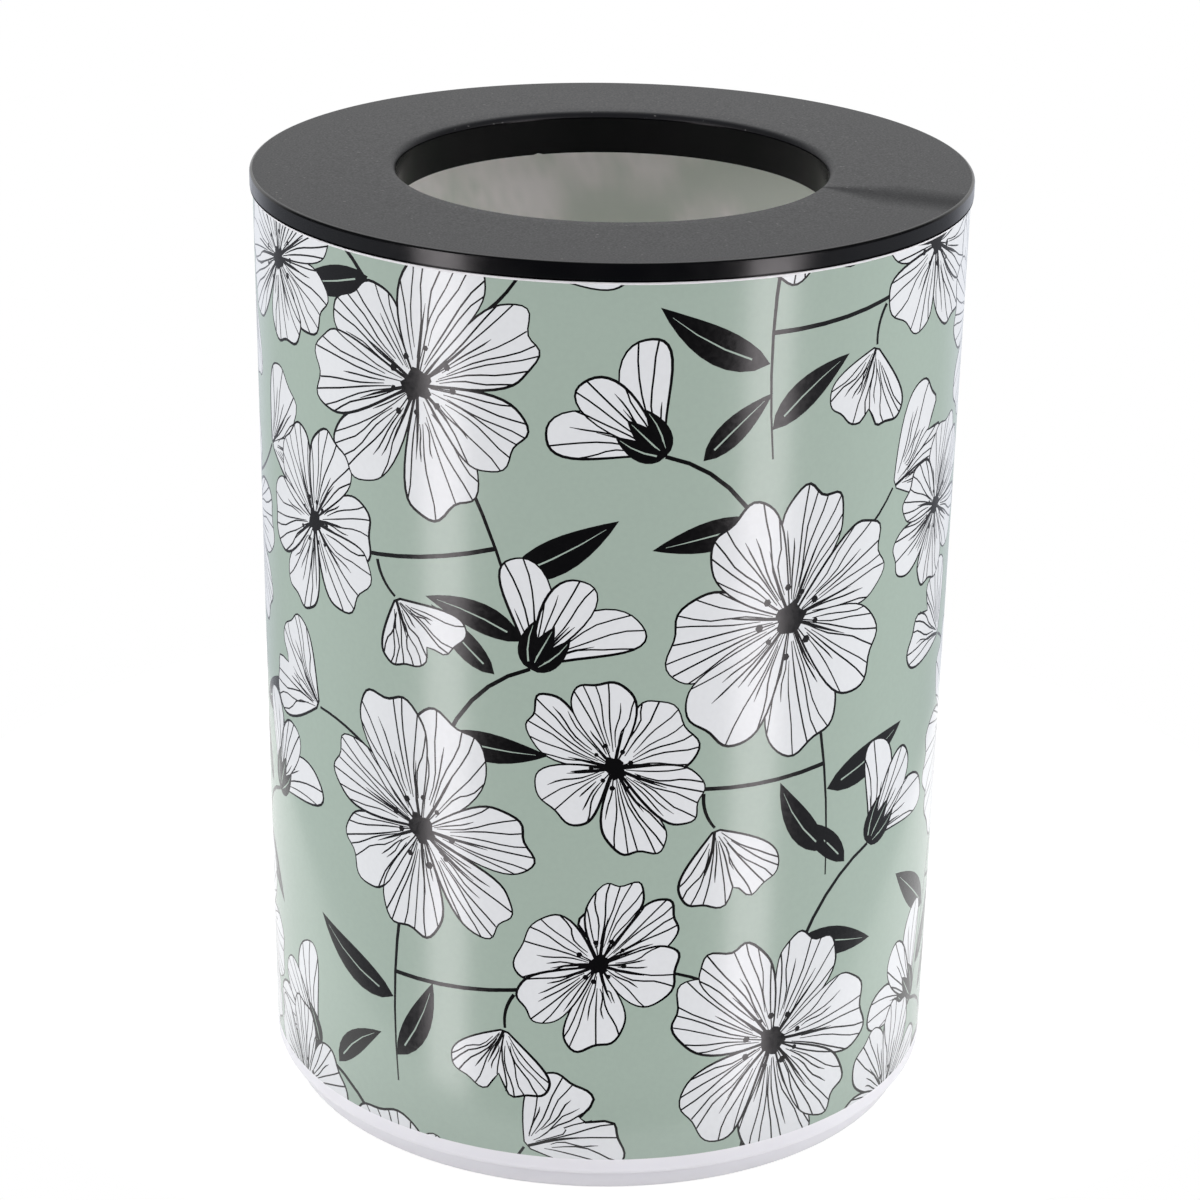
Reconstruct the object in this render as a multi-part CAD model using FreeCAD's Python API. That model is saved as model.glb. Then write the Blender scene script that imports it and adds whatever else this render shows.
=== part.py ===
"""Round tapered bin with a lift-off ring lid and a label moulded into its wall.

Millimetres, +Z up. The origin is the centre of the foot ring's lower face, where the bin stands.
"""
import FreeCAD, Part
import math
import os

# Bucket: a tapered shell of even wall that stands on an inset foot ring
bucket_height = 268.0          # to the top of the rim, where the lid rests
base_radius = 96.6             # outside of the wall, carried down to the ground
wall_draft = 0.567             # degrees that each side of the wall leans out
wall_thickness = 1.6
floor_thickness = 2.0
floor_corner_radius = 7.0      # inside, where the wall runs into the floor
foot_height = 6.0
foot_inset = 4.3               # from the wall's outside at the ground to the foot's outside
foot_thickness = 2.4
foot_edge_radius = 0.6
shoulder_radius = 2.2          # outside corner between the wall and the shelf over the foot
gate_well_radius = 9.0         # shallow round recess under the floor, where the plastic was fed in
gate_well_depth = 0.7

# Rim of the bucket: a lip that shows under the lid, and a thin tongue that the lid goes over
tongue_height = 3.0
tongue_thickness = 1.0
tongue_edge_radius = 0.3
lip_height = 1.2
lip_edge_radius = 0.35

# Label: a printed film that lies flush in a recess around the wall and butts at the back
label_thickness = 0.3
label_clear_of_shelf = 5.4     # from the shelf over the foot up to the label's lower edge
label_seam_gap = 0.8

# Ring lid: a plate around an open mouth, with a skirt, a locating spigot and a collar
plate_thickness = 2.0
plate_rise = 0.4               # the plate climbs this much from its outer edge to the mouth
skirt_thickness = 1.1
skirt_edge_radius = 0.8        # upper outside edge of the lid
skirt_foot_radius = 0.3        # lower edge of the skirt
mouth_radius = 60.0
mouth_edge_radius = 2.0
collar_thickness = 1.9
collar_depth = 12.2            # below the plate's top at the mouth
collar_edge_radius = 0.5
spigot_thickness = 1.6
spigot_depth = 7.0             # below the plate's underside
spigot_edge_radius = 0.5

# Fits between the lid and the bucket
skirt_clearance = 0.3          # between the tongue and the inside of the skirt
spigot_clearance = 0.5         # between the spigot and the inside of the wall
skirt_gap = 0.1                # between the lower edge of the skirt and the lip
lip_setback = 0.3              # how far the lip stands inside the lid's edge

# Ends of an outline's sides that lie closer than this are one point
same_point = 1e-6

# Places that follow from the sizes above
slope = math.tan(math.radians(wall_draft))
floor_top = foot_height + floor_thickness
lip_top = bucket_height - tongue_height
lip_bottom = lip_top - lip_height
label_bottom = foot_height + label_clear_of_shelf
label_top = lip_bottom


def wall_radius(height):
    """Outside radius of the bucket's wall at a height."""
    return base_radius + slope * height


foot_radius = base_radius - foot_inset
rim_inner_radius = wall_radius(lip_top) - wall_thickness
tongue_radius = rim_inner_radius + tongue_thickness
skirt_inner_radius = tongue_radius + skirt_clearance
lid_radius = skirt_inner_radius + skirt_thickness
lip_radius = lid_radius - lip_setback
spigot_radius = wall_radius(bucket_height) - wall_thickness - spigot_clearance - slope * spigot_depth
plate_under = bucket_height
lid_edge_top = plate_under + plate_thickness
mouth_top = lid_edge_top + plate_rise
collar_bottom = mouth_top - collar_depth


def corner(before, at, after, radius):
    """Where a rounding of this radius leaves the two straight sides of a corner, and its middle point."""
    here = FreeCAD.Vector(at[0], 0, at[1])
    back = (FreeCAD.Vector(before[0], 0, before[1]) - here).normalize()
    ahead = (FreeCAD.Vector(after[0], 0, after[1]) - here).normalize()
    half_angle = back.getAngle(ahead) / 2
    reach = radius / math.tan(half_angle)
    bisector = (back + ahead).normalize()
    middle = here + bisector * (radius / math.sin(half_angle) - radius)
    return here + back * reach, middle, here + ahead * reach


def section(outline):
    """Face in the XZ plane from corners of (radius from the axis, height, rounding)."""
    starts, ends, edges = [], [], []
    count = len(outline)
    for i, (radius, height, rounding) in enumerate(outline):
        if rounding:
            first, middle, last = corner(outline[i - 1], (radius, height), outline[(i + 1) % count], rounding)
            edges.append(Part.Arc(first, middle, last).toShape())
        else:
            first = last = FreeCAD.Vector(radius, 0, height)
        starts.append(first)
        ends.append(last)
    for i in range(count):
        leave, arrive = ends[i], starts[(i + 1) % count]
        if leave.distanceToPoint(arrive) > same_point:
            edges.append(Part.LineSegment(leave, arrive).toShape())
    return Part.Face(Part.Wire(Part.__sortEdges__(edges)))


def turned(outline, angle=360.0, start=0.0):
    """Solid of revolution about Z, from an outline, through an angle from a start angle off +X."""
    axis = FreeCAD.Vector(0, 0, 1)
    solid = section(outline).revolve(FreeCAD.Vector(0, 0, 0), axis, angle)
    solid.rotate(FreeCAD.Vector(0, 0, 0), axis, start)
    return solid


def make_bucket():
    """White moulded shell: floor, foot ring, tapered wall with the label's recess, lip and tongue."""
    foot_inner = foot_radius - foot_thickness
    recess_bottom = wall_radius(label_bottom) - label_thickness
    recess_top = wall_radius(label_top) - label_thickness
    return turned([
        (0, foot_height + gate_well_depth, 0),
        (gate_well_radius, foot_height + gate_well_depth, 0),
        (gate_well_radius, foot_height, 0),
        (foot_inner, foot_height, 0),
        (foot_inner, 0, foot_edge_radius),
        (foot_radius, 0, foot_edge_radius),
        (foot_radius, foot_height, 0),
        (wall_radius(foot_height), foot_height, shoulder_radius),
        (wall_radius(label_bottom), label_bottom, 0),
        (recess_bottom, label_bottom, 0),
        (recess_top, label_top, 0),
        (lip_radius, lip_bottom, lip_edge_radius),
        (lip_radius, lip_top, lip_edge_radius),
        (tongue_radius, lip_top, 0),
        (tongue_radius, bucket_height, tongue_edge_radius),
        (wall_radius(bucket_height) - wall_thickness, bucket_height, tongue_edge_radius),
        (wall_radius(floor_top) - wall_thickness, floor_top, floor_corner_radius),
        (0, floor_top, 0),
    ])


def make_label():
    """Printed film around the wall, flush with it, with an open butt seam at the back (+Y)."""
    low, high = wall_radius(label_bottom), wall_radius(label_top)
    seam_angle = math.degrees(label_seam_gap / high)
    return turned([
        (low - label_thickness, label_bottom, 0),
        (low, label_bottom, 0),
        (high, label_top, 0),
        (high - label_thickness, label_top, 0),
    ], 360.0 - seam_angle, 90.0 + seam_angle / 2)


def make_ring_lid():
    """Black moulded ring: plate with a round mouth, skirt over the tongue, spigot and collar."""
    collar_outer = mouth_radius + collar_thickness
    spigot_inner = spigot_radius - spigot_thickness
    spigot_bottom = plate_under - spigot_depth
    return turned([
        (mouth_radius, collar_bottom, collar_edge_radius),
        (mouth_radius, mouth_top, mouth_edge_radius),
        (lid_radius, lid_edge_top, skirt_edge_radius),
        (lid_radius, lip_top + skirt_gap, skirt_foot_radius),
        (skirt_inner_radius, lip_top + skirt_gap, skirt_foot_radius),
        (skirt_inner_radius, plate_under, 0),
        (spigot_radius, plate_under, 0),
        (spigot_radius, spigot_bottom, spigot_edge_radius),
        (spigot_inner, spigot_bottom, spigot_edge_radius),
        (spigot_inner, plate_under, 0),
        (collar_outer, plate_under, 0),
        (collar_outer, collar_bottom, collar_edge_radius),
    ])


def main():
    os.makedirs("parts", exist_ok=True)
    pieces = {
        "bucket": make_bucket(),
        "printed_label": make_label(),
        "ring_lid": make_ring_lid(),
    }
    for name, solid in pieces.items():
        solid.exportStep(f"parts/{name}.step")
        box = solid.BoundBox
        print(f"{name}: valid {solid.isValid()}, solids {len(solid.Solids)}, volume {solid.Volume:.1f} mm3, "
              f"z {box.ZMin:.2f} to {box.ZMax:.2f}, widest {box.XLength:.2f}")


main()
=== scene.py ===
"""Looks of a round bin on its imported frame: white bucket, printed film, black ring lid and a plain stage.

Metres, +Z up, in the frame of the CAD model. The front is at -Y and the film's seam at the back, +Y.
"""
import random
from math import atan2, cos, exp, hypot, pi, radians, sin, sqrt, tan, tau

import bmesh
import bpy
from mathutils import Matrix, Vector
from mathutils.bvhtree import BVHTree
from mathutils.geometry import delaunay_2d_cdt


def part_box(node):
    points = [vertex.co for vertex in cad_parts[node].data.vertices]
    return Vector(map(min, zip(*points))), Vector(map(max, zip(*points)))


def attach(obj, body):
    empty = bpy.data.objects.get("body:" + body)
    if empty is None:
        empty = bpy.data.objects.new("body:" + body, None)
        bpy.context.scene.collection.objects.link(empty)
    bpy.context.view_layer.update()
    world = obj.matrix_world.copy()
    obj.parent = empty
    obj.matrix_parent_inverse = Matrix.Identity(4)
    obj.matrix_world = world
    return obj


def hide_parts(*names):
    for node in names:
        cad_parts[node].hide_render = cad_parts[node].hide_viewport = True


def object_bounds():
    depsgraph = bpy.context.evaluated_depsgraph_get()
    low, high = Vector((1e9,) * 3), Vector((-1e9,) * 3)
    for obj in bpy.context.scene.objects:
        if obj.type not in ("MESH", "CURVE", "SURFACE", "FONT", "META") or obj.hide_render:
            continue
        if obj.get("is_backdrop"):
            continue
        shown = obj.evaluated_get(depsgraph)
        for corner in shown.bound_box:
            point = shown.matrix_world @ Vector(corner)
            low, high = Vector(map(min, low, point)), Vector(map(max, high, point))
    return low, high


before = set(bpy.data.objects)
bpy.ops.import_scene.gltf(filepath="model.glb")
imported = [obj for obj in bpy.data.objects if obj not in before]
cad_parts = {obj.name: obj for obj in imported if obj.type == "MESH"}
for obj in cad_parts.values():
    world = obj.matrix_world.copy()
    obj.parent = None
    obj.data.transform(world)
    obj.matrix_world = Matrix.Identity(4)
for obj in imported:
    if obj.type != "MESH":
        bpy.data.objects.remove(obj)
cad_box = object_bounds()

bl_info = {
    "name": "Round bin with ring lid",
    "version": (1, 0, 0),
    "blender": (4, 5, 0),
    "location": "3D View > Sidebar > Bin",
    "description": "Models a white bucket with a printed film around it and a black ring lid on top",
    "category": "Add Mesh",
}

MM = 0.001
bucket_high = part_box("bucket")[1]
film_low, film_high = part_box("printed_label")
lid_low, lid_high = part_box("ring_lid")

# Attribute on the bucket that holds how much painted light shows on its inside, after how pale the print
# behind its wall is
PAINTED_SHOW_THROUGH = "painted_show_through"

# On the flat sheet, points closer than this are one point, and points this near to its edge lie on it
SAME_POINT = 0.003 * MM
ON_EDGE = 0.01 * MM

# Tint of what reflections see below the horizon
COOL_WHITE = (0.98, 1.015, 1.12)


# Settings


def kind_of_setting(make, **limits):
    """Function that declares settings of one kind by name, description and default."""
    def declare(name, description, default):
        return make(name=name, description=description, default=default, **limits)
    return declare


length = kind_of_setting(bpy.props.FloatProperty, unit="LENGTH", precision=5)
slant = kind_of_setting(bpy.props.FloatProperty, subtype="ANGLE")
share = kind_of_setting(bpy.props.FloatProperty, min=0, max=1, subtype="FACTOR")
brightness = kind_of_setting(bpy.props.FloatProperty, min=0)
whole = kind_of_setting(bpy.props.IntProperty, min=1)
colour = kind_of_setting(bpy.props.FloatVectorProperty, min=0, max=1, size=3, subtype="COLOR")


class BucketSettings(bpy.types.PropertyGroup):
    """Sizes and finish of the white bucket"""
    height: length("Height", "From the ground to the top of the rim", bucket_high.z)
    base_radius: length("Base radius", "Outside of the wall, carried down to the ground", 96.6 * MM)
    draft: slant("Draft", "How far each side of the wall leans out", radians(0.567))
    wall: length("Wall", "Thickness of the wall", 1.6 * MM)
    floor: length("Floor", "Thickness of the floor", 2 * MM)
    floor_corner: length("Floor corner", "Rounding inside, where the wall runs into the floor", 7 * MM)
    foot_height: length("Foot height", "From the ground to the shelf over the foot ring", 6 * MM)
    foot_inset: length("Foot inset", "From the wall's outside at the ground to the foot's outside", 4.3 * MM)
    foot_width: length("Foot width", "Thickness of the foot ring", 2.4 * MM)
    shoulder: length("Shoulder", "Rounding between the wall and the shelf over the foot", 2.2 * MM)
    tongue_height: length("Tongue height", "Height of the thin rim that the lid goes over", 3 * MM)
    lip_height: length("Lip height", "Height of the lip that shows under the lid", 0.75 * MM)
    lip_setback: length("Lip setback", "How far the lip stands inside the lid's edge", 0.45 * MM)
    plastic: colour("Plastic", "Colour of the white plastic", (0.75, 0.755, 0.79))
    # Both inside colours are painted light and shade: the sage tint, and the paler colour over pale ink,
    # stand for light that shines in through the film and the thin wall
    inside: colour("Inside", "Colour inside, where the sage ground tints the wall", (0.695, 0.72, 0.675))
    inside_painted_light: colour("Inside pale", "Colour inside, over pale ink", (0.90, 0.86, 0.845))
    roughness: share("Roughness", "Roughness of the white plastic", 0.36)


class FilmSettings(bpy.types.PropertyGroup):
    """Sizes and inks of the printed film"""
    bottom: length("Bottom", "Lower edge of the film", film_low.z)
    top: length("Top", "Upper edge of the film, a little higher than in the CAD", film_high.z + 0.45 * MM)
    thickness: length("Thickness", "Thickness of the film", 0.28 * MM)
    seam_gap: length("Seam gap", "Open gap of the butt seam at the back", 0.8 * MM)
    line: length("Line", "Width of the print's fine lines", 0.5 * MM)
    sprays: whole("Sprays", "Columns of sprays around the film", 6)
    strips: whole("Strips", "Flat strips that the curved film is made of, a multiple of four", 128)
    seed: whole("Seed", "Seed of the print's small differences", 11)
    ground: colour("Ground", "Sage green ground of the print", (0.313, 0.392, 0.340))
    pale_ink: colour("Pale ink", "White ink of the print", (0.638, 0.663, 0.680))
    dark_ink: colour("Dark ink", "Black ink of the print", (0.003, 0.003, 0.0035))
    roughness: share("Roughness", "Roughness of the glossy film", 0.2)


class LidSettings(bpy.types.PropertyGroup):
    """Sizes and finish of the black ring lid"""
    radius: length("Radius", "Outside of the lid", min(-lid_low.x, lid_high.x, -lid_low.y, lid_high.y))
    top: length("Top", "Top of the plate at the mouth", 270.4 * MM)
    rise: length("Rise", "Climb of the plate from its outer edge to the mouth", 0.4 * MM)
    plate: length("Plate", "Thickness of the plate", 2 * MM)
    skirt: length("Skirt", "Thickness of the skirt", 1.1 * MM)
    skirt_edge: length("Skirt edge", "Rounding of the lid's upper outside edge", 0.8 * MM)
    skirt_gap: length("Skirt gap", "Gap between the skirt and the bucket's lip", 0.05 * MM)
    shadow_gap: length("Shadow gap", "Height of the dark groove along the skirt's foot", 0.5 * MM)
    shadow_depth: length("Shadow depth", "Depth of that groove", 0.8 * MM)
    mouth_radius: length("Mouth radius", "Inside of the open mouth", 60 * MM)
    mouth_edge: length("Mouth edge", "Rounding of the mouth's upper edge", 2 * MM)
    collar: length("Collar", "Thickness of the collar around the mouth", 1.9 * MM)
    collar_depth: length("Collar depth", "Depth of the collar below the plate's top", 12.2 * MM)
    spigot: length("Spigot", "Thickness of the locating ring under the plate", 1.6 * MM)
    spigot_depth: length("Spigot depth", "Depth of the locating ring below the plate", 7 * MM)
    spigot_clearance: length("Spigot clearance", "Room between the locating ring and the wall", 0.5 * MM)
    weld_angle: slant("Weld angle", "Where the plate's dull weld line runs", radians(-21.1))
    weld_dulling: share("Weld dulling", "Roughness that the weld line adds to the grained top", 0.19)
    gate_angle: slant("Gate angle", "Where the trimmed gate is, under the collar", radians(111))
    plastic: colour("Plastic", "Colour of the black plastic", (0.011, 0.012, 0.0155))
    grained: share("Grained roughness", "Roughness of the grained top", 0.46)
    smooth: share("Smooth roughness", "Roughness of the smooth edges", 0.2)


class StageSettings(bpy.types.PropertyGroup):
    """Floor, light and camera"""
    floor_radius: length("Floor radius", "Radius of the round white table top", 0.24)
    floor_front: length("Floor front", "From the axis of the bin to the table's front edge", 0.13)
    lamp_distance: length("Lamp distance", "From the axis of the bin to the tall lamps", 1.5)
    lamp_height: length("Lamp height", "Height of the tall lamps", 2.2)
    lamp_radiance: brightness("Lamp radiance", "Brightness of the tall lamps' faces", 4.4)
    backdrop: brightness("Backdrop", "White that reflections see behind the bin", 1.0)
    room: brightness("Room", "Dim room that reflections see in front", 0.02)
    low_glow: brightness("Low glow", "White that reflections see low at the sides", 0.29)
    ambient: brightness("Ambient", "Even light from all around", 0.46)
    from_sides: brightness("From the sides", "Light added towards both sides", 1.3)
    from_behind: brightness("From behind", "Light added behind and taken in front", 0.25)


# Outlines and turned pieces


def wall_radius(height):
    """Outside radius of the bucket's wall at a height."""
    bucket = bpy.context.scene.bin_bucket
    return bucket.base_radius + tan(bucket.draft) * height


def rounded(outline, closed, steps=6):
    """Points along an outline of (radius, height, rounding) corners."""
    points = []
    count = len(outline)
    for i, (radius, height, rounding) in enumerate(outline):
        here = Vector((radius, height))
        end = not closed and i in (0, count - 1)
        if end or not rounding:
            points.append(here)
            continue
        back = (Vector(outline[i - 1][:2]) - here).normalized()
        ahead = (Vector(outline[(i + 1) % count][:2]) - here).normalized()
        half = back.angle(ahead) / 2
        reach = rounding / tan(half)
        centre = here + (back + ahead).normalized() * (rounding / sin(half))
        start = here + back * reach - centre
        sweep = start.angle_signed(here + ahead * reach - centre)
        for k in range(steps + 1):
            points.append(centre + Matrix.Rotation(-sweep * k / steps, 2) @ start)
    return points


def turned_piece(name, outline, closed, steps=256):
    """Piece of revolution: the outline is drawn by extruding a point, then spun around the axis."""
    points = rounded(outline, closed)
    bpy.ops.object.select_all(action="DESELECT")
    bpy.ops.mesh.primitive_plane_add(size=MM, location=(0, 0, 0))
    piece = bpy.context.active_object
    piece.name = name
    piece.data.name = name
    bpy.ops.object.mode_set(mode="EDIT")
    bpy.ops.mesh.select_mode(type="VERT")
    bpy.ops.mesh.select_all(action="SELECT")
    bpy.ops.mesh.merge(type="CENTER")
    bpy.ops.transform.translate(value=(points[0].x, 0, points[0].y))
    for here, there in zip(points, points[1:]):
        step = there - here
        bpy.ops.mesh.extrude_vertices_move(TRANSFORM_OT_translate={"value": (step.x, 0, step.y)})
    if closed:
        mesh = bmesh.from_edit_mesh(piece.data)
        mesh.verts.ensure_lookup_table()
        mesh.verts[0].select_set(True)
        bpy.ops.mesh.edge_face_add()
    bpy.ops.mesh.select_all(action="SELECT")
    bpy.ops.mesh.spin(steps=steps, angle=tau, center=(0, 0, 0), axis=(0, 0, 1))
    bpy.ops.mesh.select_all(action="SELECT")
    bpy.ops.mesh.remove_doubles(threshold=0.002 * MM)
    bpy.ops.mesh.normals_make_consistent(inside=False)
    bpy.ops.object.mode_set(mode="OBJECT")
    return piece


def smooth_finish(piece):
    """Smooth shading that keeps flats flat and corners crisp."""
    bpy.ops.object.select_all(action="DESELECT")
    piece.select_set(True)
    bpy.context.view_layer.objects.active = piece
    bpy.ops.object.shade_smooth_by_angle(angle=radians(35))
    bpy.ops.object.modifier_add(type="WEIGHTED_NORMAL")
    piece.modifiers[0].keep_sharp = True
    bpy.ops.object.modifier_apply(modifier=piece.modifiers[0].name)


# Materials


class Wiring:
    """Short ways to add nodes to a node tree and to join them."""

    def __init__(self, tree):
        self.tree = tree

    def fill(self, node, values):
        """Sets inputs by name or number, each to a value or joined to an output."""
        for key, value in values.items():
            if isinstance(value, bpy.types.NodeSocket):
                self.tree.links.new(value, node.inputs[key])
            else:
                node.inputs[key].default_value = value

    def node(self, kind, values=None, **settings):
        """Outputs of a new node with these settings and inputs."""
        made = self.tree.nodes.new(kind)
        for name, value in settings.items():
            setattr(made, name, value)
        self.fill(made, values or {})
        return made.outputs

    def sums(self, operation, *values):
        """Result of a calculation on numbers and outputs."""
        return self.node("ShaderNodeMath", dict(enumerate(values)), operation=operation)[0]

    def spread(self, value, low, high, start=0.35, stop=0.65, easing="LINEAR"):
        """Range from low to high that follows a value on its way from start to stop."""
        ends = {"From Min": start, "From Max": stop, "To Min": low, "To Max": high}
        return self.node("ShaderNodeMapRange", {"Value": value, **ends}, interpolation_type=easing)["Result"]

    def choose(self, factor, first, second):
        """First value where the factor is zero, second where it is one."""
        return self.sums("MULTIPLY_ADD", factor, self.sums("SUBTRACT", second, first), first)

    def mixed(self, factor, first, second):
        """Colour that runs between two colours."""
        made = self.tree.nodes.new("ShaderNodeMix")
        made.data_type = "RGBA"
        places = [i for i, socket in enumerate(made.inputs) if socket.type == "RGBA"]
        self.fill(made, {"Factor": factor, places[0]: (*first, 1), places[1]: (*second, 1)})
        return [socket for socket in made.outputs if socket.type == "RGBA"][0]

    def parts(self, vector):
        """Outputs for the three parts of a vector."""
        return tuple(self.node("ShaderNodeSeparateXYZ", {"Vector": vector}))


class Finish(Wiring):
    """Material on a Principled shader, with textures on the piece's own coordinates."""

    def __init__(self, name, base, roughness):
        self.material = bpy.data.materials.new(name)
        self.material.use_nodes = True
        super().__init__(self.material.node_tree)
        self.shader = self.tree.nodes["Principled BSDF"]
        self.give({"Base Color": (*base, 1), "Roughness": roughness})
        self.place = self.node("ShaderNodeTexCoord")["Object"]

    def give(self, values):
        """Sets or joins sockets of the shader."""
        self.fill(self.shader, values)

    def noise(self, scale, detail=2.0, squeeze=1.0):
        """Cloudy texture, squeezed into level streaks where squeeze is more than one."""
        squeezed = self.node("ShaderNodeMapping", {"Vector": self.place, "Scale": (1, 1, squeeze)})["Vector"]
        values = {"Vector": squeezed, "Scale": scale, "Detail": detail}
        return self.node("ShaderNodeTexNoise", values)["Fac"]

    def tint(self, factor, first, second):
        """Base colour that runs between two colours."""
        self.give({"Base Color": self.mixed(factor, first, second)})

    def roughen(self, texture, middle, swing, added=None):
        """Roughness that follows a texture around a middle value, with more added in places."""
        rough = self.spread(texture, middle - swing, middle + swing)
        if added is not None:
            rough = self.sums("ADD", rough, added)
        self.give({"Roughness": rough})

    def bump(self, height, strength, distance):
        values = {"Height": height, "Strength": strength, "Distance": distance}
        self.give({"Normal": self.node("ShaderNodeBump", values)["Normal"]})


def shade(base, factor):
    return tuple(min(1, channel * factor) for channel in base)


def white_plastic(name, base, pale=None):
    """Satin moulded plastic with a slow colour drift, or, on the inside, with painted light and shade that
    follow the print behind the thin wall.
    """
    bucket = bpy.context.scene.bin_bucket
    finish = Finish(name, base, bucket.roughness)
    # Inside, the colour runs from the sage-tinted painted shade to the pale painted light, after the print
    # behind the wall
    if pale:
        behind = finish.node("ShaderNodeAttribute", attribute_name=PAINTED_SHOW_THROUGH)["Fac"]
        finish.tint(behind, base, pale)
    else:
        drift = finish.noise(scale=18, detail=3)
        finish.tint(finish.spread(drift, 0, 1), shade(base, 0.975), base)
    grain = finish.noise(scale=900, detail=3)
    finish.roughen(grain, bucket.roughness, swing=0.05)
    finish.bump(grain, strength=0.12, distance=0.02 * MM)
    finish.give({"Subsurface Weight": 1, "Subsurface Radius": (1, 1, 1), "Subsurface Scale": 3 * MM})
    return finish.material


def film_ink(name, base):
    """Printed ink under a glossy film with a slight orange-peel skin."""
    film = bpy.context.scene.bin_film
    finish = Finish(name, base, film.roughness)
    mottle = finish.noise(scale=700, detail=3)
    finish.tint(finish.spread(mottle, 0, 1), shade(base, 0.985), shade(base, 1.01))
    skin = finish.noise(scale=750)
    finish.roughen(skin, film.roughness, swing=0.03)
    finish.bump(skin, strength=0.10, distance=0.03 * MM)
    return finish.material


def grained_plastic():
    """Black plastic with a fine moulded grain, a few pale specks and a dull weld line."""
    lid = bpy.context.scene.bin_lid
    finish = Finish("black_plastic_grained", lid.plastic, lid.grained)
    specks = finish.noise(scale=700, detail=1)
    finish.tint(finish.spread(specks, 0, 1, start=0.735, stop=0.77), lid.plastic, (0.11, 0.11, 0.11))
    grain = finish.noise(scale=1800, detail=4)
    dulled = finish.sums("MULTIPLY", weld_line(finish), lid.weld_dulling)
    finish.roughen(grain, lid.grained, swing=0.06, added=dulled)
    finish.bump(grain, strength=0.8, distance=0.03 * MM)
    finish.give({"Specular IOR Level": 0.42})
    return finish.material


def weld_line(finish):
    """One along the dull wedge on the plate where two fronts of plastic met, zero beside it."""
    lid = bpy.context.scene.bin_lid
    narrowest, widest = 0.01 * MM, 7.5 * MM
    widening = 20 * MM
    values = {"Vector": finish.place, "Angle": -lid.weld_angle}
    aligned = finish.node("ShaderNodeVectorRotate", values, rotation_type="Z_AXIS")["Vector"]
    along, across, _ = finish.parts(aligned)
    half_width = finish.spread(along, narrowest, widest, start=lid.mouth_radius,
                               stop=lid.mouth_radius + widening)
    aside = finish.sums("DIVIDE", finish.sums("ABSOLUTE", across), half_width)
    return finish.spread(aside, 1, 0, start=0.2, stop=1.5)


def smooth_plastic(name, sheen):
    """Black plastic from a smooth part of the mould, with fine turning marks around it."""
    lid = bpy.context.scene.bin_lid
    finish = Finish(name, shade(lid.plastic, 0.2), lid.smooth)
    finish.roughen(finish.noise(scale=120, detail=3), lid.smooth + 0.005, swing=0.035)
    finish.bump(finish.noise(scale=25, detail=3, squeeze=70), strength=0.35, distance=0.03 * MM)
    finish.give({"Specular IOR Level": sheen})
    return finish.material


def dress(piece, *materials):
    for material in materials:
        piece.data.materials.append(material)


# Flat print: closed outlines in layers, each painted over the ones before it

GROUND, PALE, DARK = 0, 1, 2


def turn(point, angle):
    """Point turned about the origin."""
    x, y = point
    return (x * cos(angle) - y * sin(angle), x * sin(angle) + y * cos(angle))


def counter_clockwise(points):
    """Outline in the order that keeps its inside on the left."""
    following = points[1:] + points[:1]
    area = sum(x0 * y1 - x1 * y0 for (x0, y0), (x1, y1) in zip(points, following))
    return points[::-1] if area < 0 else points


def sideways(points, i, closed):
    """Unit direction to the left of a line at its point i."""
    last = len(points) - 1
    x0, y0 = points[i - 1] if closed or i else points[0]
    x1, y1 = points[(i + 1) % len(points)] if closed or i < last else points[last]
    size = hypot(x1 - x0, y1 - y0) or 1.0
    return (y0 - y1) / size, (x1 - x0) / size


class Sheet:
    """Collects the painted outlines of the print, in layers from stems up to large blossoms."""

    def __init__(self, rng, line):
        self.rng = rng
        self.line = line
        self.layers = [[], [], [], []]
        self.layer = 0

    def paint(self, points, ink):
        self.layers[self.layer].append((counter_clockwise(points), ink))

    def stroke(self, path, widths, ink=DARK):
        left, right = [], []
        for i, (x, y) in enumerate(path):
            dx, dy = sideways(path, i, False)
            half = widths[i] / 2
            left.append((x + dx * half, y + dy * half))
            right.append((x - dx * half, y - dy * half))
        self.paint(left + right[::-1], ink)

    def outlined(self, points, line):
        """Pale shape inside a dark line that swells and thins along its edge."""
        points = counter_clockwise(points)
        phase = self.rng.uniform(0, tau)
        inner = []
        for i, (x, y) in enumerate(points):
            dx, dy = sideways(points, i, True)
            width = line * (1.0 + 0.3 * sin(tau * i / len(points) + phase))
            inner.append((x + dx * width, y + dy * width))
        self.paint(points, DARK)
        self.paint(inner, PALE)


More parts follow.
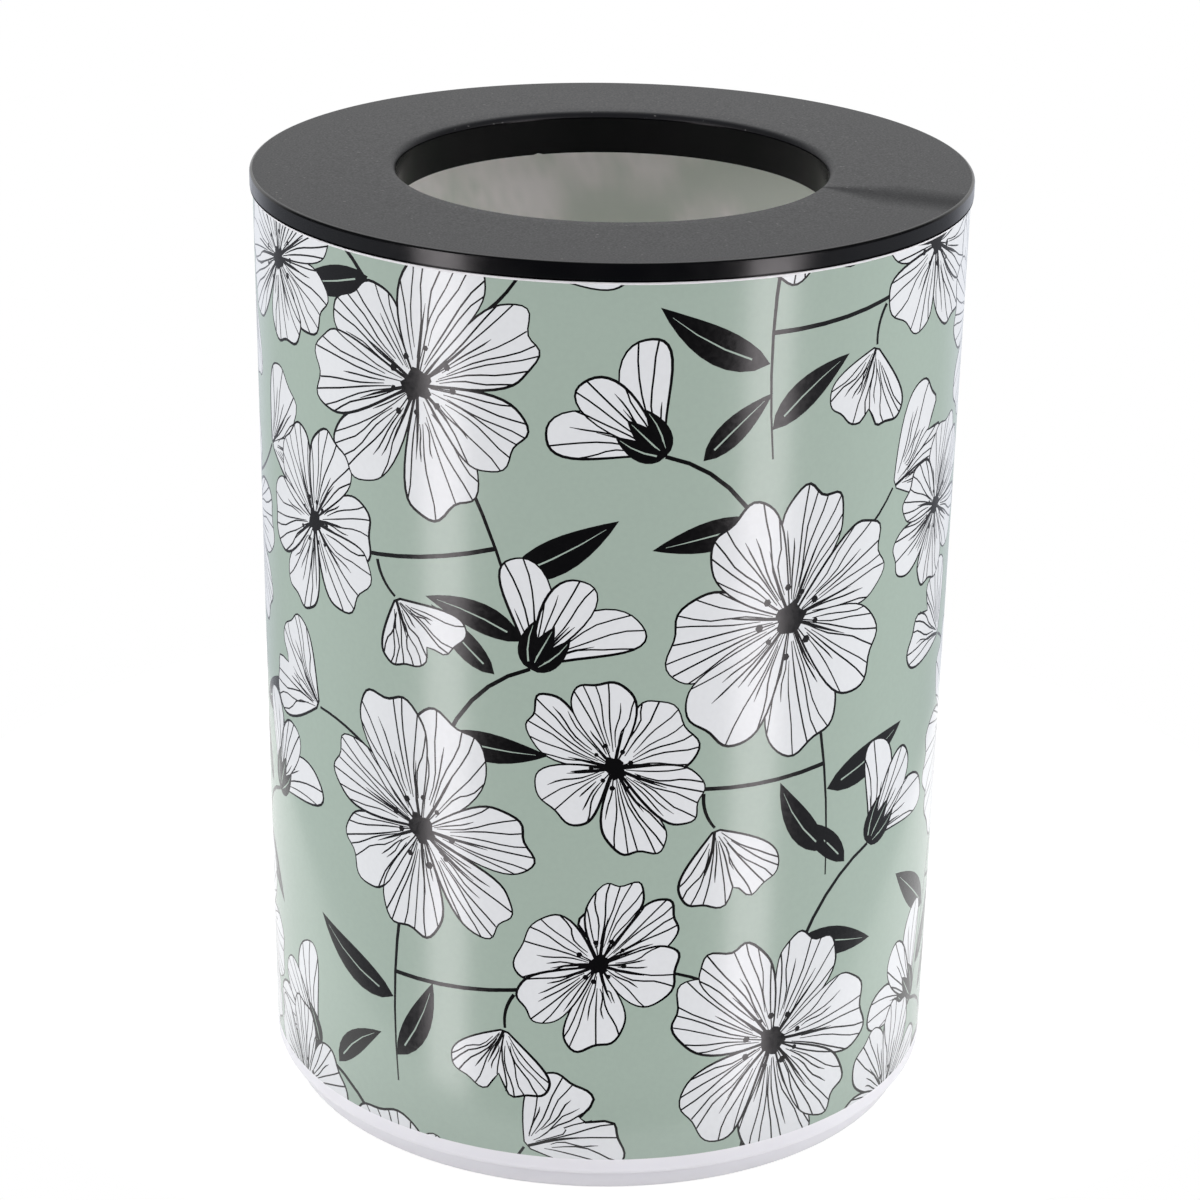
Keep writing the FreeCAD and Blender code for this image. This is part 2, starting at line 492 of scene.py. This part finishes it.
class Blade:
    """Petal or fan leaf: a rounded wedge that opens from its root, with a wavy outer edge."""

    def __init__(self, rng, reach, spread, square=4.5, teeth=3, depth=0.05, notch=0.0, bend=0.0):
        self.rng = rng
        self.length = reach
        self.spread = spread
        self.square = square
        self.teeth = teeth
        self.depth = depth
        self.notch = notch
        self.bend = bend
        self.lean = rng.uniform(-0.12, 0.12)
        self.phase = rng.uniform(-0.6, 0.6)

    def reach(self, side):
        """Distance from the root to the edge, at a side from -1 to 1."""
        body = max(1.0 - abs(side) ** self.square, 0.0) ** 0.5
        lobes = 0.5 - 0.5 * cos(pi * self.teeth * (side + 1) + self.phase)
        lobes *= 1.0 - side ** 4
        cleft = exp(-((side - self.lean) / 0.09) ** 2)
        return self.length * body * (1.0 - self.depth * lobes - self.notch * cleft + self.lean * side)

    def at(self, side, part):
        """Point at a side, and a part of the way from the root to the edge."""
        far = part * self.reach(side)
        angle = self.spread * side * (0.7 + 0.3 * part)
        angle += self.bend * far / self.length
        return (far * sin(angle), far * cos(angle))

    def draw(self, sheet, place, veins, points):
        """Paints the outline, the fine veins and one short heavier fold."""
        rng = self.rng
        line = sheet.line
        sides = [sin(pi / 2 * (2 * (i + 0.5) / points - 1)) for i in range(points)]
        sheet.outlined([place(self.at(side, 1.0)) for side in sides], line * 1.25)
        steps = 7
        # Most veins run to the edge, and the others thin out on the way
        for k in range(veins):
            side = 0.86 * (2 * (k + 0.5) / veins - 1) + rng.uniform(-0.04, 0.04)
            start = rng.uniform(0.1, 0.3)
            end = 0.985 if rng.random() < 0.78 else rng.uniform(0.55, 0.85)
            swing = rng.uniform(-0.13, 0.13)
            turns = rng.uniform(1.2, 2.3)
            path = []
            for i in range(steps):
                part = i / (steps - 1)
                sway = side + swing * sin(turns * pi * part) * (1 - part * part)
                path.append(place(self.at(max(-0.97, min(0.97, sway)), start + (end - start) * part)))
            thin = rng.uniform(0.8, 1.05)
            widths = [line * thin * (0.5 + 0.5 * min(1.0, 3.0 * i / (steps - 1))) for i in range(steps)]
            if end < 0.9:
                widths[-1] = line * 0.25
            sheet.stroke(path, widths)
        side = rng.uniform(-0.8, 0.8)
        path = [place(self.at(side * (0.9 + 0.1 * part), 0.05 + 0.55 * part)) for part in (0, 0.35, 0.7, 1.0)]
        sheet.stroke(path, [line * width for width in (1.9, 1.9, 1.2, 0.25)])


def placer(x, y, direction, tilt=0.0, squash=1.0):
    """Puts a shape's own points on the sheet: turned, foreshortened along a tilt, and moved."""
    def place(point):
        px, py = turn(point, direction - tilt)
        px, py = turn((px, py * squash), tilt)
        return (x + px, y + py)
    return place


def blossom(sheet, x, y, radius, petals, veins, tilt, squash, spin):
    """Open round blossom: petals in two rows, a ring of stamens and a dark core."""
    rng = sheet.rng
    for k in list(range(0, petals, 2)) + list(range(1, petals, 2)):
        direction = spin + tau * k / petals + rng.uniform(-0.07, 0.07)
        blade = Blade(rng, radius * rng.uniform(0.9, 1.05), pi / petals * rng.uniform(1.1, 1.3),
                      square=rng.uniform(3.6, 5.0), depth=rng.uniform(0.03, 0.075),
                      bend=rng.uniform(-0.16, 0.16))
        blade.draw(sheet, placer(x, y, direction, tilt, squash), veins, points=34)
    place = placer(x, y, spin, tilt, squash)
    stamens = 9
    for k in range(stamens):
        angle = tau * k / stamens + rng.uniform(-0.12, 0.12)
        far = radius * rng.uniform(0.19, 0.29)
        path = [place(turn((reach, 0), angle)) for reach in (radius * 0.06, far)]
        sheet.stroke(path, [sheet.line * 0.8] * 2)
        dot = radius * rng.uniform(0.02, 0.031)
        ring = [turn((dot, 0), tau * i / 6) for i in range(6)]
        sheet.paint([(path[-1][0] + dx, path[-1][1] + dy) for dx, dy in ring], DARK)
    core = []
    core_points = 16
    for i in range(core_points):
        angle = tau * i / core_points
        far = radius * 0.115 * (1 + 0.16 * sin(5 * angle + spin) + rng.uniform(-0.1, 0.1))
        core.append(place(turn((far, 0), angle)))
    sheet.paint(core, DARK)


def stem(sheet, start, middle, end, wide, narrow):
    """Curved dark stem between two points, drawn towards a middle one."""
    path, widths = [], []
    steps = 8
    for i in range(steps + 1):
        part = i / steps
        weights = ((1 - part) ** 2, 2 * part * (1 - part), part * part)
        path.append(tuple(sum(weight * place for weight, place in zip(weights, places))
                          for places in zip(start, middle, end)))
        widths.append(wide + (narrow - wide) * part)
    sheet.stroke(path, widths)


def slim_leaf(sheet, x, y, direction, reach, width, bend):
    """Slim dark leaf with a fine rib left open."""
    def at(side, part):
        half = width / 2 * sin(pi * part ** 0.8) ** 0.9
        return place(turn((side * half, part * reach), bend * part))
    place = placer(x, y, direction)
    steps = 9
    right = [at(1, i / steps) for i in range(steps + 1)]
    left = [at(-1, i / steps) for i in range(steps - 1, 0, -1)]
    sheet.paint(right + left, DARK)
    rib = [at(0, part) for part in (0.16, 0.4, 0.65, 0.88)]
    sheet.stroke(rib, [sheet.line * width for width in (1.0, 0.85, 0.6, 0.2)], GROUND)


def fan_leaf(sheet, x, y, direction, reach, stalk):
    """Pale fan-shaped leaf with a cleft, on a thin stalk."""
    rng = sheet.rng
    dx, dy = turn((0, stalk), direction)
    sx, sy = turn((stalk * 0.2, stalk * 0.5), direction)
    stem(sheet, (x, y), (x + sx, y + sy), (x + dx, y + dy), sheet.line * 2.2, sheet.line * 1.6)
    blade = Blade(rng, reach, radians(rng.uniform(50, 60)), square=7, teeth=5, depth=0.04,
                  notch=rng.uniform(0.16, 0.3), bend=rng.uniform(-0.1, 0.1))
    place = placer(x + dx, y + dy, direction, direction, rng.uniform(0.82, 1.0))
    blade.draw(sheet, place, veins=13, points=48)


def bud(sheet, x, y, direction, reach):
    """Half-open bud: three petals in a cup of slim leaves."""
    rng = sheet.rng
    for lean, part, veins in ((0.30, 0.92, 4), (-0.30, 0.95, 4), (0.0, 0.86, 5)):
        blade = Blade(rng, reach * part, radians(24), square=2.6, teeth=1, depth=0.0, bend=-lean * 1.1)
        blade.draw(sheet, placer(x, y, direction + lean), veins, points=24)
    for lean in (-0.75, 0.0, 0.75):
        slim_leaf(sheet, x, y, direction + lean, reach * 0.42, reach * 0.16, -lean * 0.5)


def spray(sheet, x, y, flip, tip):
    """One spray: stems and slim leaves, fan leaves and a bud, a small and a large blossom."""
    rng = sheet.rng

    def spot(px, py):
        dx, dy = turn((px * flip * MM, py * MM), tip)
        return (x + dx, y + dy)

    def way(angle):
        return angle * flip + tip

    sheet.layer = 0
    stem(sheet, spot(-22, -78), spot(-18, -30), spot(0, 0), 0.5 * MM, 1.5 * MM)
    stem(sheet, spot(-17, -44), spot(14, -50), spot(40, -46), 1.3 * MM, 1.1 * MM)
    stem(sheet, spot(0, 0), spot(14, 42), spot(40, 46), 1.3 * MM, 1.1 * MM)
    leaves = ((-19, -52, 1.15, 34), (-21, -70, -0.9, 29), (12, 28, -1.9, 30), (30, 45, 0.6, 25))
    for px, py, angle, reach in leaves:
        slim_leaf(sheet, *spot(px, py), way(angle) + rng.uniform(-0.15, 0.15), reach * MM,
                  reach * 0.29 * MM, rng.uniform(-0.35, 0.35) * flip)
    sheet.layer = 1
    fan_leaf(sheet, *spot(-8, 14), way(0.95) + rng.uniform(-0.1, 0.1), 30 * MM, 31 * MM)
    fan_leaf(sheet, *spot(20, -49), way(2.75) + rng.uniform(-0.1, 0.1), 25 * MM, 11 * MM)
    bud(sheet, *spot(40, 46), way(-0.75) + rng.uniform(-0.12, 0.12), 34 * MM)
    sheet.layer = 2
    blossom(sheet, *spot(45, -42), rng.uniform(28, 31) * MM, 6, 7, rng.uniform(0, pi),
            rng.uniform(0.74, 0.88), rng.uniform(0, tau))
    sheet.layer = 3
    blossom(sheet, x, y, rng.uniform(38, 41) * MM, 7, 8, rng.uniform(0, pi), rng.uniform(0.82, 0.95),
            rng.uniform(0, tau))


def flat_print(around, width, height):
    """Outlines that reach the film, in painting order. They repeat after a turn around the bin."""
    film = bpy.context.scene.bin_film
    sheet = Sheet(random.Random(film.seed), film.line)
    step = around / film.sprays
    drop = height / 2
    margin = 0.36 * drop
    for column in range(film.sprays):
        x = (column + 0.5) * step - around / 2
        low = 0.25 if column % 2 else -0.25
        for row in range(3):
            y = (row + low) * drop
            if -margin < y < height + margin:
                spray(sheet, x, y, 1 if (column + row) % 2 else -1, sheet.rng.uniform(-0.2, 0.2))
    shapes = []
    for points, ink in sum(sheet.layers, []):
        for shift in (-around, 0, around):
            moved = [(px + shift, py) for px, py in points]
            across, up = zip(*moved)
            if max(across) > -width / 2 and min(across) < width / 2 and max(up) > 0 and min(up) < height:
                shapes.append((moved, ink))
    return shapes


# Printed film: the flat print as one mesh of inked triangles, rolled onto the wall


def inked_triangles(shapes, width, height):
    """Triangles of the sheet with the ink that lies on top, still cut by every outline."""
    corners = [(-width / 2, 0), (width / 2, 0), (width / 2, height), (-width / 2, height)]
    points, faces, inks = [], [], []
    for outline, ink in [(corners, GROUND)] + shapes:
        faces.append(list(range(len(points), len(points) + len(outline))))
        points += [Vector(point) for point in outline]
        inks.append(ink)
    points, _, triangles, _, _, sources = delaunay_2d_cdt(points, [], faces, 0, SAME_POINT)
    kept = [(triangle, inks[max(source)]) for triangle, source in zip(triangles, sources) if 0 in source]
    return points, kept


def cut_sheet(shapes, width, around, height):
    """Points and inked triangles of the sheet, cut only where the ink changes and along the strips."""
    film = bpy.context.scene.bin_film
    points, inked = inked_triangles(shapes, width, height)
    sides = {}
    for triangle, ink in inked:
        for a, b in zip(triangle, triangle[1:] + triangle[:1]):
            sides.setdefault((min(a, b), max(a, b)), []).append(ink)
    borders = [side for side, found in sides.items() if len(found) == 1 or found[0] != found[1]]
    number = {}
    for side in borders:
        for end in side:
            number.setdefault(end, len(number))
    kept = [points[i] for i in number]
    edges = [(number[a], number[b]) for a, b in borders]
    for k in range(1, film.strips):
        x = around * (k / film.strips - 0.5)
        edges.append((len(kept), len(kept) + 1))
        kept += [Vector((x, 0)), Vector((x, height))]
    sheet, _, triangles, _, _, _ = delaunay_2d_cdt(kept, edges, [], 0, SAME_POINT)
    tree = BVHTree.FromPolygons([(p.x, p.y, 0) for p in points], [triangle for triangle, ink in inked])
    result = []
    for triangle in triangles:
        middle = (sheet[triangle[0]] + sheet[triangle[1]] + sheet[triangle[2]]) / 3
        found = tree.ray_cast((middle.x, middle.y, MM), (0, 0, -1))[2]
        result.append((triangle, GROUND if found is None else inked[found][1]))
    return sheet, result


def film_border(sheet, width, height):
    """Numbers of the points along the edge of the sheet, counter-clockwise from the lower left corner."""
    bottom = sorted((p.x, i) for i, p in enumerate(sheet) if p.y < ON_EDGE)
    top = sorted(((p.x, i) for i, p in enumerate(sheet) if p.y > height - ON_EDGE), reverse=True)
    inside = [(p.y, i) for i, p in enumerate(sheet) if ON_EDGE <= p.y <= height - ON_EDGE]
    right = sorted((y, i) for y, i in inside if sheet[i].x > width / 2 - ON_EDGE)
    left = sorted(((y, i) for y, i in inside if sheet[i].x < ON_EDGE - width / 2), reverse=True)
    return [i for place, i in bottom + right + top + left]


def make_film():
    """Mesh of the film: the printed face, its narrow edges and a plain back."""
    film = bpy.context.scene.bin_film
    height = film.top - film.bottom
    radius = wall_radius((film.top + film.bottom) / 2)
    around = tau * radius
    width = around - film.seam_gap * radius / wall_radius(film.top)
    sheet, inked = cut_sheet(flat_print(around, width, height), width, around, height)
    border = film_border(sheet, width, height)

    # The back is cut along the same strips as the face, found to a part of a strip's width
    ends = {}
    parts = 1000
    for k, i in enumerate(border):
        if sheet[i].y < ON_EDGE or sheet[i].y > height - ON_EDGE:
            ends.setdefault(round(sheet[i].x * film.strips / around * parts), []).append(k)
    strips = [tuple(pair) for place, pair in ends.items() if place % parts == 0 and len(pair) == 2]
    edge = [sheet[i] for i in border]
    _, _, back, source, _, _ = delaunay_2d_cdt(edge, strips, [list(range(len(edge)))], 1, 0.001 * MM)

    def rolled(point, depth):
        angle = point.x / radius
        z = film.bottom + point.y
        far = wall_radius(z) - depth
        return (far * sin(angle), -far * cos(angle), z)

    count = len(sheet)
    points = [rolled(point, 0) for point in sheet] + [rolled(point, film.thickness) for point in edge]
    faces, inks = map(list, zip(*inked))
    for k, i in enumerate(border):
        following = (k + 1) % len(border)
        faces.append([border[following], i, count + k, count + following])
    for triangle in back:
        faces.append([count + source[i][0] for i in reversed(triangle)])
    inks += [GROUND] * (len(faces) - len(inks))
    mesh = bpy.data.meshes.new("printed_film")
    mesh.from_pydata(points, [], faces)
    mesh.polygons.foreach_set("material_index", inks)

    # The face shades as the true cone, and its two halves fill the UV map named OFBake
    lean = bpy.context.scene.bin_bucket.draft
    plain = [tuple(polygon.normal) for polygon in mesh.polygons]
    normals, places = [], []
    quarter = around / 4
    row_height = 0.485
    second_row = 0.5
    unprinted_spot = (0.5, 0.995)
    for polygon in mesh.polygons:
        printed = polygon.index < len(inked)
        polygon.use_smooth = printed
        middle = sum(sheet[i].x for i in polygon.vertices) / 3 if printed else 0
        for corner in polygon.vertices:
            if not printed:
                normals.append(plain[polygon.index])
                places.append(unprinted_spot)
                continue
            x, y = sheet[corner]
            angle = x / radius
            outward = cos(lean)
            normals.append((outward * sin(angle), -outward * cos(angle), -sin(lean)))
            behind = abs(middle) > quarter
            if behind and middle < 0:
                x += around
            across = (x - quarter if behind else x + quarter) / (around / 2)
            places.append((across, (second_row if behind else 0) + row_height * y / height))
    mesh.normals_split_custom_set(normals)
    chart = mesh.uv_layers.new(name="OFBake")
    for corner, place in zip(chart.data, places):
        corner.uv = place
    piece = bpy.data.objects.new("printed_film", mesh)
    bpy.context.scene.collection.objects.link(piece)
    return piece


# Operators


class BIN_OT_bucket(bpy.types.Operator):
    """Models the white bucket: floor on a foot ring, leaning wall with the film's recess, lip and rim"""
    bl_idname = "bin.bucket"
    bl_label = "Bucket"

    def execute(self, context):
        bucket = context.scene.bin_bucket
        film = context.scene.bin_film
        shelf = bucket.foot_height
        foot = bucket.base_radius - bucket.foot_inset
        foot_inner = foot - bucket.foot_width
        foot_edge = 0.6 * MM
        well_radius = 9 * MM
        well_top = shelf + 0.7 * MM
        recess = 0.3 * MM
        floor_top = shelf + bucket.floor
        lip = context.scene.bin_lid.radius - bucket.lip_setback
        lip_top = bucket.height - bucket.tongue_height
        tongue_width = 1 * MM
        tongue = wall_radius(lip_top) - bucket.wall + tongue_width
        rim_edge = 0.3 * MM
        rows = range(260, 16, -4)
        outline = [
            (0, well_top, 0),
            (well_radius, well_top, 0),
            (well_radius, shelf, 0),
            (foot_inner, shelf, 0),
            (foot_inner, 0, foot_edge),
            (foot, 0, foot_edge),
            (foot, shelf, 0),
            (wall_radius(shelf), shelf, bucket.shoulder),
            (wall_radius(film.bottom), film.bottom, 0),
            (wall_radius(film.bottom) - recess, film.bottom, 0),
            (wall_radius(film.top) - recess, film.top, 0),
            (lip, lip_top - bucket.lip_height, rim_edge),
            (lip, lip_top, rim_edge),
            (tongue, lip_top, 0),
            (tongue, bucket.height, rim_edge),
            (wall_radius(bucket.height) - bucket.wall, bucket.height, rim_edge),
        ]
        outline += [(wall_radius(row * MM) - bucket.wall, row * MM, 0) for row in rows]
        outline += [
            (wall_radius(floor_top) - bucket.wall, floor_top, bucket.floor_corner),
            (0, floor_top, 0),
        ]
        piece = turned_piece("white_bucket", outline, closed=False)
        smooth_finish(piece)
        dress(piece, white_plastic("white_plastic", bucket.plastic),
              white_plastic("white_plastic_with_painted_light", bucket.inside, bucket.inside_painted_light))

        # The second finish, with the painted light that stands for light through the wall, goes on the
        # inside: all that faces the axis over the floor, and the floor itself
        just_under_floor = floor_top - 0.1 * MM
        over_corner = 20 * MM
        for face in piece.data.polygons:
            inward = face.normal.x * face.center.x + face.normal.y * face.center.y < 0
            on_floor = face.normal.z > 0.3 and face.center.z < over_corner
            if face.center.z > just_under_floor and (inward or on_floor):
                face.material_index = 1
        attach(piece, "bin")
        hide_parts("bucket")
        return {"FINISHED"}


class BIN_OT_film(bpy.types.Operator):
    """Makes the printed film around the wall, with its print as inked faces"""
    bl_idname = "bin.film"
    bl_label = "Printed film"

    def execute(self, context):
        film = context.scene.bin_film
        piece = make_film()
        dress(piece, film_ink("film_sage_ground", film.ground), film_ink("film_pale_ink", film.pale_ink),
              film_ink("film_dark_ink", film.dark_ink))
        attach(piece, "bin")
        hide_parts("printed_label")
        # The film and the thin wall let soft light soak through to the inside
        piece.visible_shadow = False
        piece.visible_diffuse = False
        self.paint_light_through_wall(piece)
        return {"FINISHED"}

    def paint_light_through_wall(self, piece):
        """Notes at each point of the bucket's milky wall how pale the print behind it is, with a blur, for
        the painted light that the inside shows through the wall.
        """
        printed = [polygon for polygon in piece.data.polygons if polygon.use_smooth]
        tree = BVHTree.FromPolygons([vert.co for vert in piece.data.vertices],
                                    [tuple(polygon.vertices) for polygon in printed])
        blur = 5 * MM
        last_spot = 16
        golden_turn = 2.4
        spots = [(blur * sqrt(k / last_spot), golden_turn * k) for k in range(last_spot + 1)]
        # Pale ink gives the inside painted light and dark ink painted shade; the sage ground leaves the
        # sage-tinted inside colour
        painted_light_by_ink = {GROUND: 0.0, PALE: 1.0, DARK: -0.4}
        within_wall = 80 * MM
        bucket = bpy.data.objects["white_bucket"].data
        behind = bucket.attributes.new(PAINTED_SHOW_THROUGH, "FLOAT", "POINT")
        for vert, note in zip(bucket.vertices, behind.data):
            far = hypot(vert.co.x, vert.co.y)
            if far < within_wall:
                continue
            around = atan2(vert.co.y, vert.co.x)
            total = 0
            for reach, turned in spots:
                angle = around + reach * cos(turned) / far
                place = Vector((0, 0, vert.co.z + reach * sin(turned)))
                found = tree.ray_cast(place, (cos(angle), sin(angle), 0))[2]
                total += 0 if found is None else painted_light_by_ink[printed[found].material_index]
            note.value = max(0, total / len(spots))


class BIN_OT_lid(bpy.types.Operator):
    """Models the black ring lid: plate with a rounded mouth, collar, skirt and locating ring"""
    bl_idname = "bin.lid"
    bl_label = "Ring lid"

    def execute(self, context):
        bucket = context.scene.bin_bucket
        lid = context.scene.bin_lid
        edge_top = lid.top - lid.rise
        under = edge_top - lid.plate
        collar_outer = lid.mouth_radius + lid.collar
        collar_bottom = lid.top - lid.collar_depth
        skirt_inner = lid.radius - lid.skirt
        skirt_bottom = bucket.height - bucket.tongue_height + lid.skirt_gap
        skirt_foot = 0.1 * MM
        flange = lid.radius - 0.1 * MM
        flange_top = skirt_bottom + 0.08 * MM
        groove = lid.radius - lid.shadow_depth
        groove_top = flange_top + lid.shadow_gap
        spigot = (wall_radius(bucket.height) - bucket.wall - lid.spigot_clearance
                  - tan(bucket.draft) * lid.spigot_depth)
        spigot_inner = spigot - lid.spigot
        spigot_bottom = under - lid.spigot_depth
        ring_edge = 0.5 * MM
        mouth_drop = 0.2 * MM
        outline = [
            (lid.mouth_radius, collar_bottom, ring_edge),
            (lid.mouth_radius, lid.top - mouth_drop, lid.mouth_edge),
        ]
        # The plate falls towards the lid's edge, and rolls off towards the mouth
        roll_start = 67
        for ring in (63, 64, 65, 66, 67, 70, 76, 82, 88, 92, 94, 96):
            along = (ring * MM - lid.mouth_radius) / (lid.radius - lid.mouth_radius)
            roll = 0.005 * MM * max(0, roll_start - ring) ** 2
            outline.append((ring * MM, lid.top - lid.rise * along - roll, 0))
        outline += [
            (lid.radius, edge_top, lid.skirt_edge),
            (lid.radius, groove_top, skirt_foot),
            (groove, groove_top, 0),
            (groove, flange_top, 0),
            (flange, flange_top, 0),
            (flange, skirt_bottom, 0),
            (skirt_inner, skirt_bottom, skirt_foot),
            (skirt_inner, under, 0),
            (spigot, under, 0),
            (spigot, spigot_bottom, ring_edge),
            (spigot_inner, spigot_bottom, ring_edge),
            (spigot_inner, under, 0),
            (collar_outer, under, 0),
            (collar_outer, collar_bottom, ring_edge),
        ]
        piece = turned_piece("ring_lid_moulding", outline, closed=True)
        self.trim_gate(piece, lid)
        smooth_finish(piece)
        dress(piece, smooth_plastic("black_plastic_smooth", sheen=0.5), grained_plastic(),
              smooth_plastic("black_plastic_collar", sheen=0.16))

        # The grain covers the plate and the mouth's rounding, and ends before the rounding of the lid's edge
        past_rounding = lid.mouth_radius + 3 * MM
        grain_end = lid.radius - 0.85 * MM
        for face in piece.data.polygons:
            far = hypot(face.center.x, face.center.y)
            near_mouth = far < past_rounding
            steepest = 0.15 if near_mouth else 0.9
            if face.normal.z > steepest and face.center.z > under and far < grain_end:
                face.material_index = 1
            elif near_mouth:
                face.material_index = 2
        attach(piece, "lid")
        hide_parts("ring_lid")
        return {"FINISHED"}

    def trim_gate(self, piece, lid):
        """Leaves a small nick in the collar's lower edge, where the gate was trimmed off."""
        highest = lid.top - lid.collar_depth + 0.6 * MM
        half_width = radians(0.75)
        lift = 0.4 * MM
        bpy.ops.object.mode_set(mode="EDIT")
        bpy.ops.mesh.select_all(action="DESELECT")
        for vert in bmesh.from_edit_mesh(piece.data).verts:
            angle = atan2(vert.co.y, vert.co.x)
            vert.select_set(vert.co.z < highest and abs(angle - lid.gate_angle) < half_width)
        bpy.ops.transform.translate(value=(0, 0, lift))
        bpy.ops.object.mode_set(mode="OBJECT")


class BIN_OT_stage(bpy.types.Operator):
    """Sets up the white table top, the two tall lamps, the backdrop's light and the camera"""
    bl_idname = "bin.stage"
    bl_label = "Stage"

    def execute(self, context):
        stage = context.scene.bin_stage
        under_foot = -0.2 * MM
        bpy.ops.object.select_all(action="DESELECT")
        bpy.ops.mesh.primitive_circle_add(vertices=128, radius=stage.floor_radius, fill_type="NGON",
                                          location=(0, stage.floor_radius - stage.floor_front, under_foot))
        floor = context.active_object
        floor.name = "table_top"
        dress(floor, self.table_finish())
        floor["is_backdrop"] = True
        self.tall_lamp("lamp_left", azimuth=-52, width=14.5)
        self.tall_lamp("lamp_right", azimuth=50.5, width=16)
        self.light_world(context)
        bpy.ops.object.camera_add()
        camera = context.active_object
        place = Matrix.Translation((0, -0.95311, 0.51242))
        pan = Matrix.Rotation(0.0015, 4, "Z")
        dip = Matrix.Rotation(pi / 2 - 0.372, 4, "X")
        roll = Matrix.Rotation(0.0162, 4, "Z")
        camera.matrix_world = place @ pan @ dip @ roll
        camera.data.lens = 105.824
        camera.data.sensor_width = 36
        context.scene.camera = camera
        context.scene.view_settings.view_transform = "Standard"
        return {"FINISHED"}

    def tall_lamp(self, name, azimuth, width):
        """Tall soft lamp at degrees from the front, as many degrees wide as seen from the bin."""
        stage = bpy.context.scene.bin_stage
        angle = radians(azimuth)
        place = Vector((sin(angle), -cos(angle), 0)) * stage.lamp_distance
        bpy.ops.object.light_add(type="AREA", location=place)
        lamp = bpy.context.active_object
        lamp.name = name
        lamp.rotation_euler = (-place).to_track_quat("-Z", "Y").to_euler()
        lamp.data.shape = "RECTANGLE"
        lamp.data.size = 2 * stage.lamp_distance * tan(radians(width / 2))
        lamp.data.size_y = stage.lamp_height
        lamp.data.color = (1.0, 0.94, 0.965)
        lamp.data.energy = stage.lamp_radiance * pi * lamp.data.size * lamp.data.size_y

    def looking_rays(self, wires):
        """Outputs that are one for rays from the camera, and for rays from reflections and clear pieces."""
        path = wires.node("ShaderNodeLightPath")
        mirrored = wires.sums("MAXIMUM", path["Is Glossy Ray"], path["Is Transmission Ray"])
        return path["Is Camera Ray"], mirrored

    def table_finish(self):
        """White table top that keeps the bin's soft shadow."""
        finish = Finish("white_table", (0.36, 0.36, 0.36), 0.9)
        finish.give({"Specular IOR Level": 0, "Emission Color": (1, 1, 1, 1), "Emission Strength": 0.8})
        matt = finish.node("ShaderNodeBsdfDiffuse", {"Color": (0.85, 0.85, 0.85, 1)})["BSDF"]
        looking = finish.sums("MAXIMUM", *self.looking_rays(finish))
        values = {"Fac": looking, 1: matt, 2: finish.shader.outputs["BSDF"]}
        mix = finish.node("ShaderNodeMixShader", values)["Shader"]
        finish.fill(finish.tree.nodes["Material Output"], {"Surface": mix})
        return finish.material

    def light_world(self, context):
        """White to the camera, soft light on the bin, and a backdrop that reflections see behind it."""
        stage = context.scene.bin_stage
        world = bpy.data.worlds.new("studio")
        context.scene.world = world
        world.use_nodes = True
        wires = Wiring(world.node_tree)
        sums = wires.sums
        direction = wires.node("ShaderNodeTexCoord")["Generated"]
        across, back, up = wires.parts(direction)
        soft = sums("MULTIPLY_ADD", sums("MULTIPLY", across, across), stage.from_sides, stage.ambient)
        soft = sums("MULTIPLY_ADD", back, stage.from_behind, soft)

        # Reflections see a white backdrop behind, a dim room in front, and a cool glow low at the sides
        high_aside = sums("MULTIPLY", sums("MAXIMUM", up, 0), sums("ABSOLUTE", across))
        toward = sums("MULTIPLY_ADD", high_aside, -1.1, sums("MULTIPLY_ADD", up, 0.45, back))
        backdrop = wires.spread(toward, stage.room, stage.backdrop, 0.3, 0.85, "SMOOTHSTEP")
        backdrop = sums("MULTIPLY", backdrop, sums("MULTIPLY_ADD", up, 0.3, 0.84))
        below = wires.spread(up, 1, 0, -0.2, 0, "SMOOTHSTEP")
        glow = sums("MULTIPLY", wires.spread(back, 0, stage.low_glow, -0.8, 0, "SMOOTHSTEP"), below)
        seen, mirrored = self.looking_rays(wires)
        level = wires.choose(mirrored, soft, sums("MAXIMUM", backdrop, glow))
        level = wires.choose(seen, level, 1)
        cool = wires.mixed(sums("MULTIPLY", mirrored, below), (1, 1, 1), COOL_WHITE)
        wires.fill(wires.tree.nodes["Background"], {"Strength": level, "Color": cool})


class BIN_PT_panel(bpy.types.Panel):
    """Lists the steps that make the bin"""
    bl_idname = "BIN_PT_panel"
    bl_label = "Round bin"
    bl_space_type = "VIEW_3D"
    bl_region_type = "UI"
    bl_category = "Bin"

    def draw(self, context):
        scene = context.scene
        for operator, settings, group in STEPS:
            self.layout.operator(operator.bl_idname)
            box = self.layout.box()
            for name in group.__annotations__:
                box.prop(getattr(scene, settings), name)


STEPS = (
    (BIN_OT_bucket, "bin_bucket", BucketSettings),
    (BIN_OT_film, "bin_film", FilmSettings),
    (BIN_OT_lid, "bin_lid", LidSettings),
    (BIN_OT_stage, "bin_stage", StageSettings),
)


def register():
    for operator, settings, group in STEPS:
        bpy.utils.register_class(group)
        setattr(bpy.types.Scene, settings, bpy.props.PointerProperty(type=group))
        bpy.utils.register_class(operator)
    bpy.utils.register_class(BIN_PT_panel)


def unregister():
    bpy.utils.unregister_class(BIN_PT_panel)
    for operator, settings, group in reversed(STEPS):
        bpy.utils.unregister_class(operator)
        delattr(bpy.types.Scene, settings)
        bpy.utils.unregister_class(group)


def main():
    register()
    bpy.ops.bin.bucket()
    bpy.ops.bin.film()
    bpy.ops.bin.lid()
    bpy.ops.bin.stage()
    boxes = {"cad": cad_box, "visual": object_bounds()}
    {name: [list(corner) for corner in box] for name, box in boxes.items()}


if __name__ == "__main__":
    main()
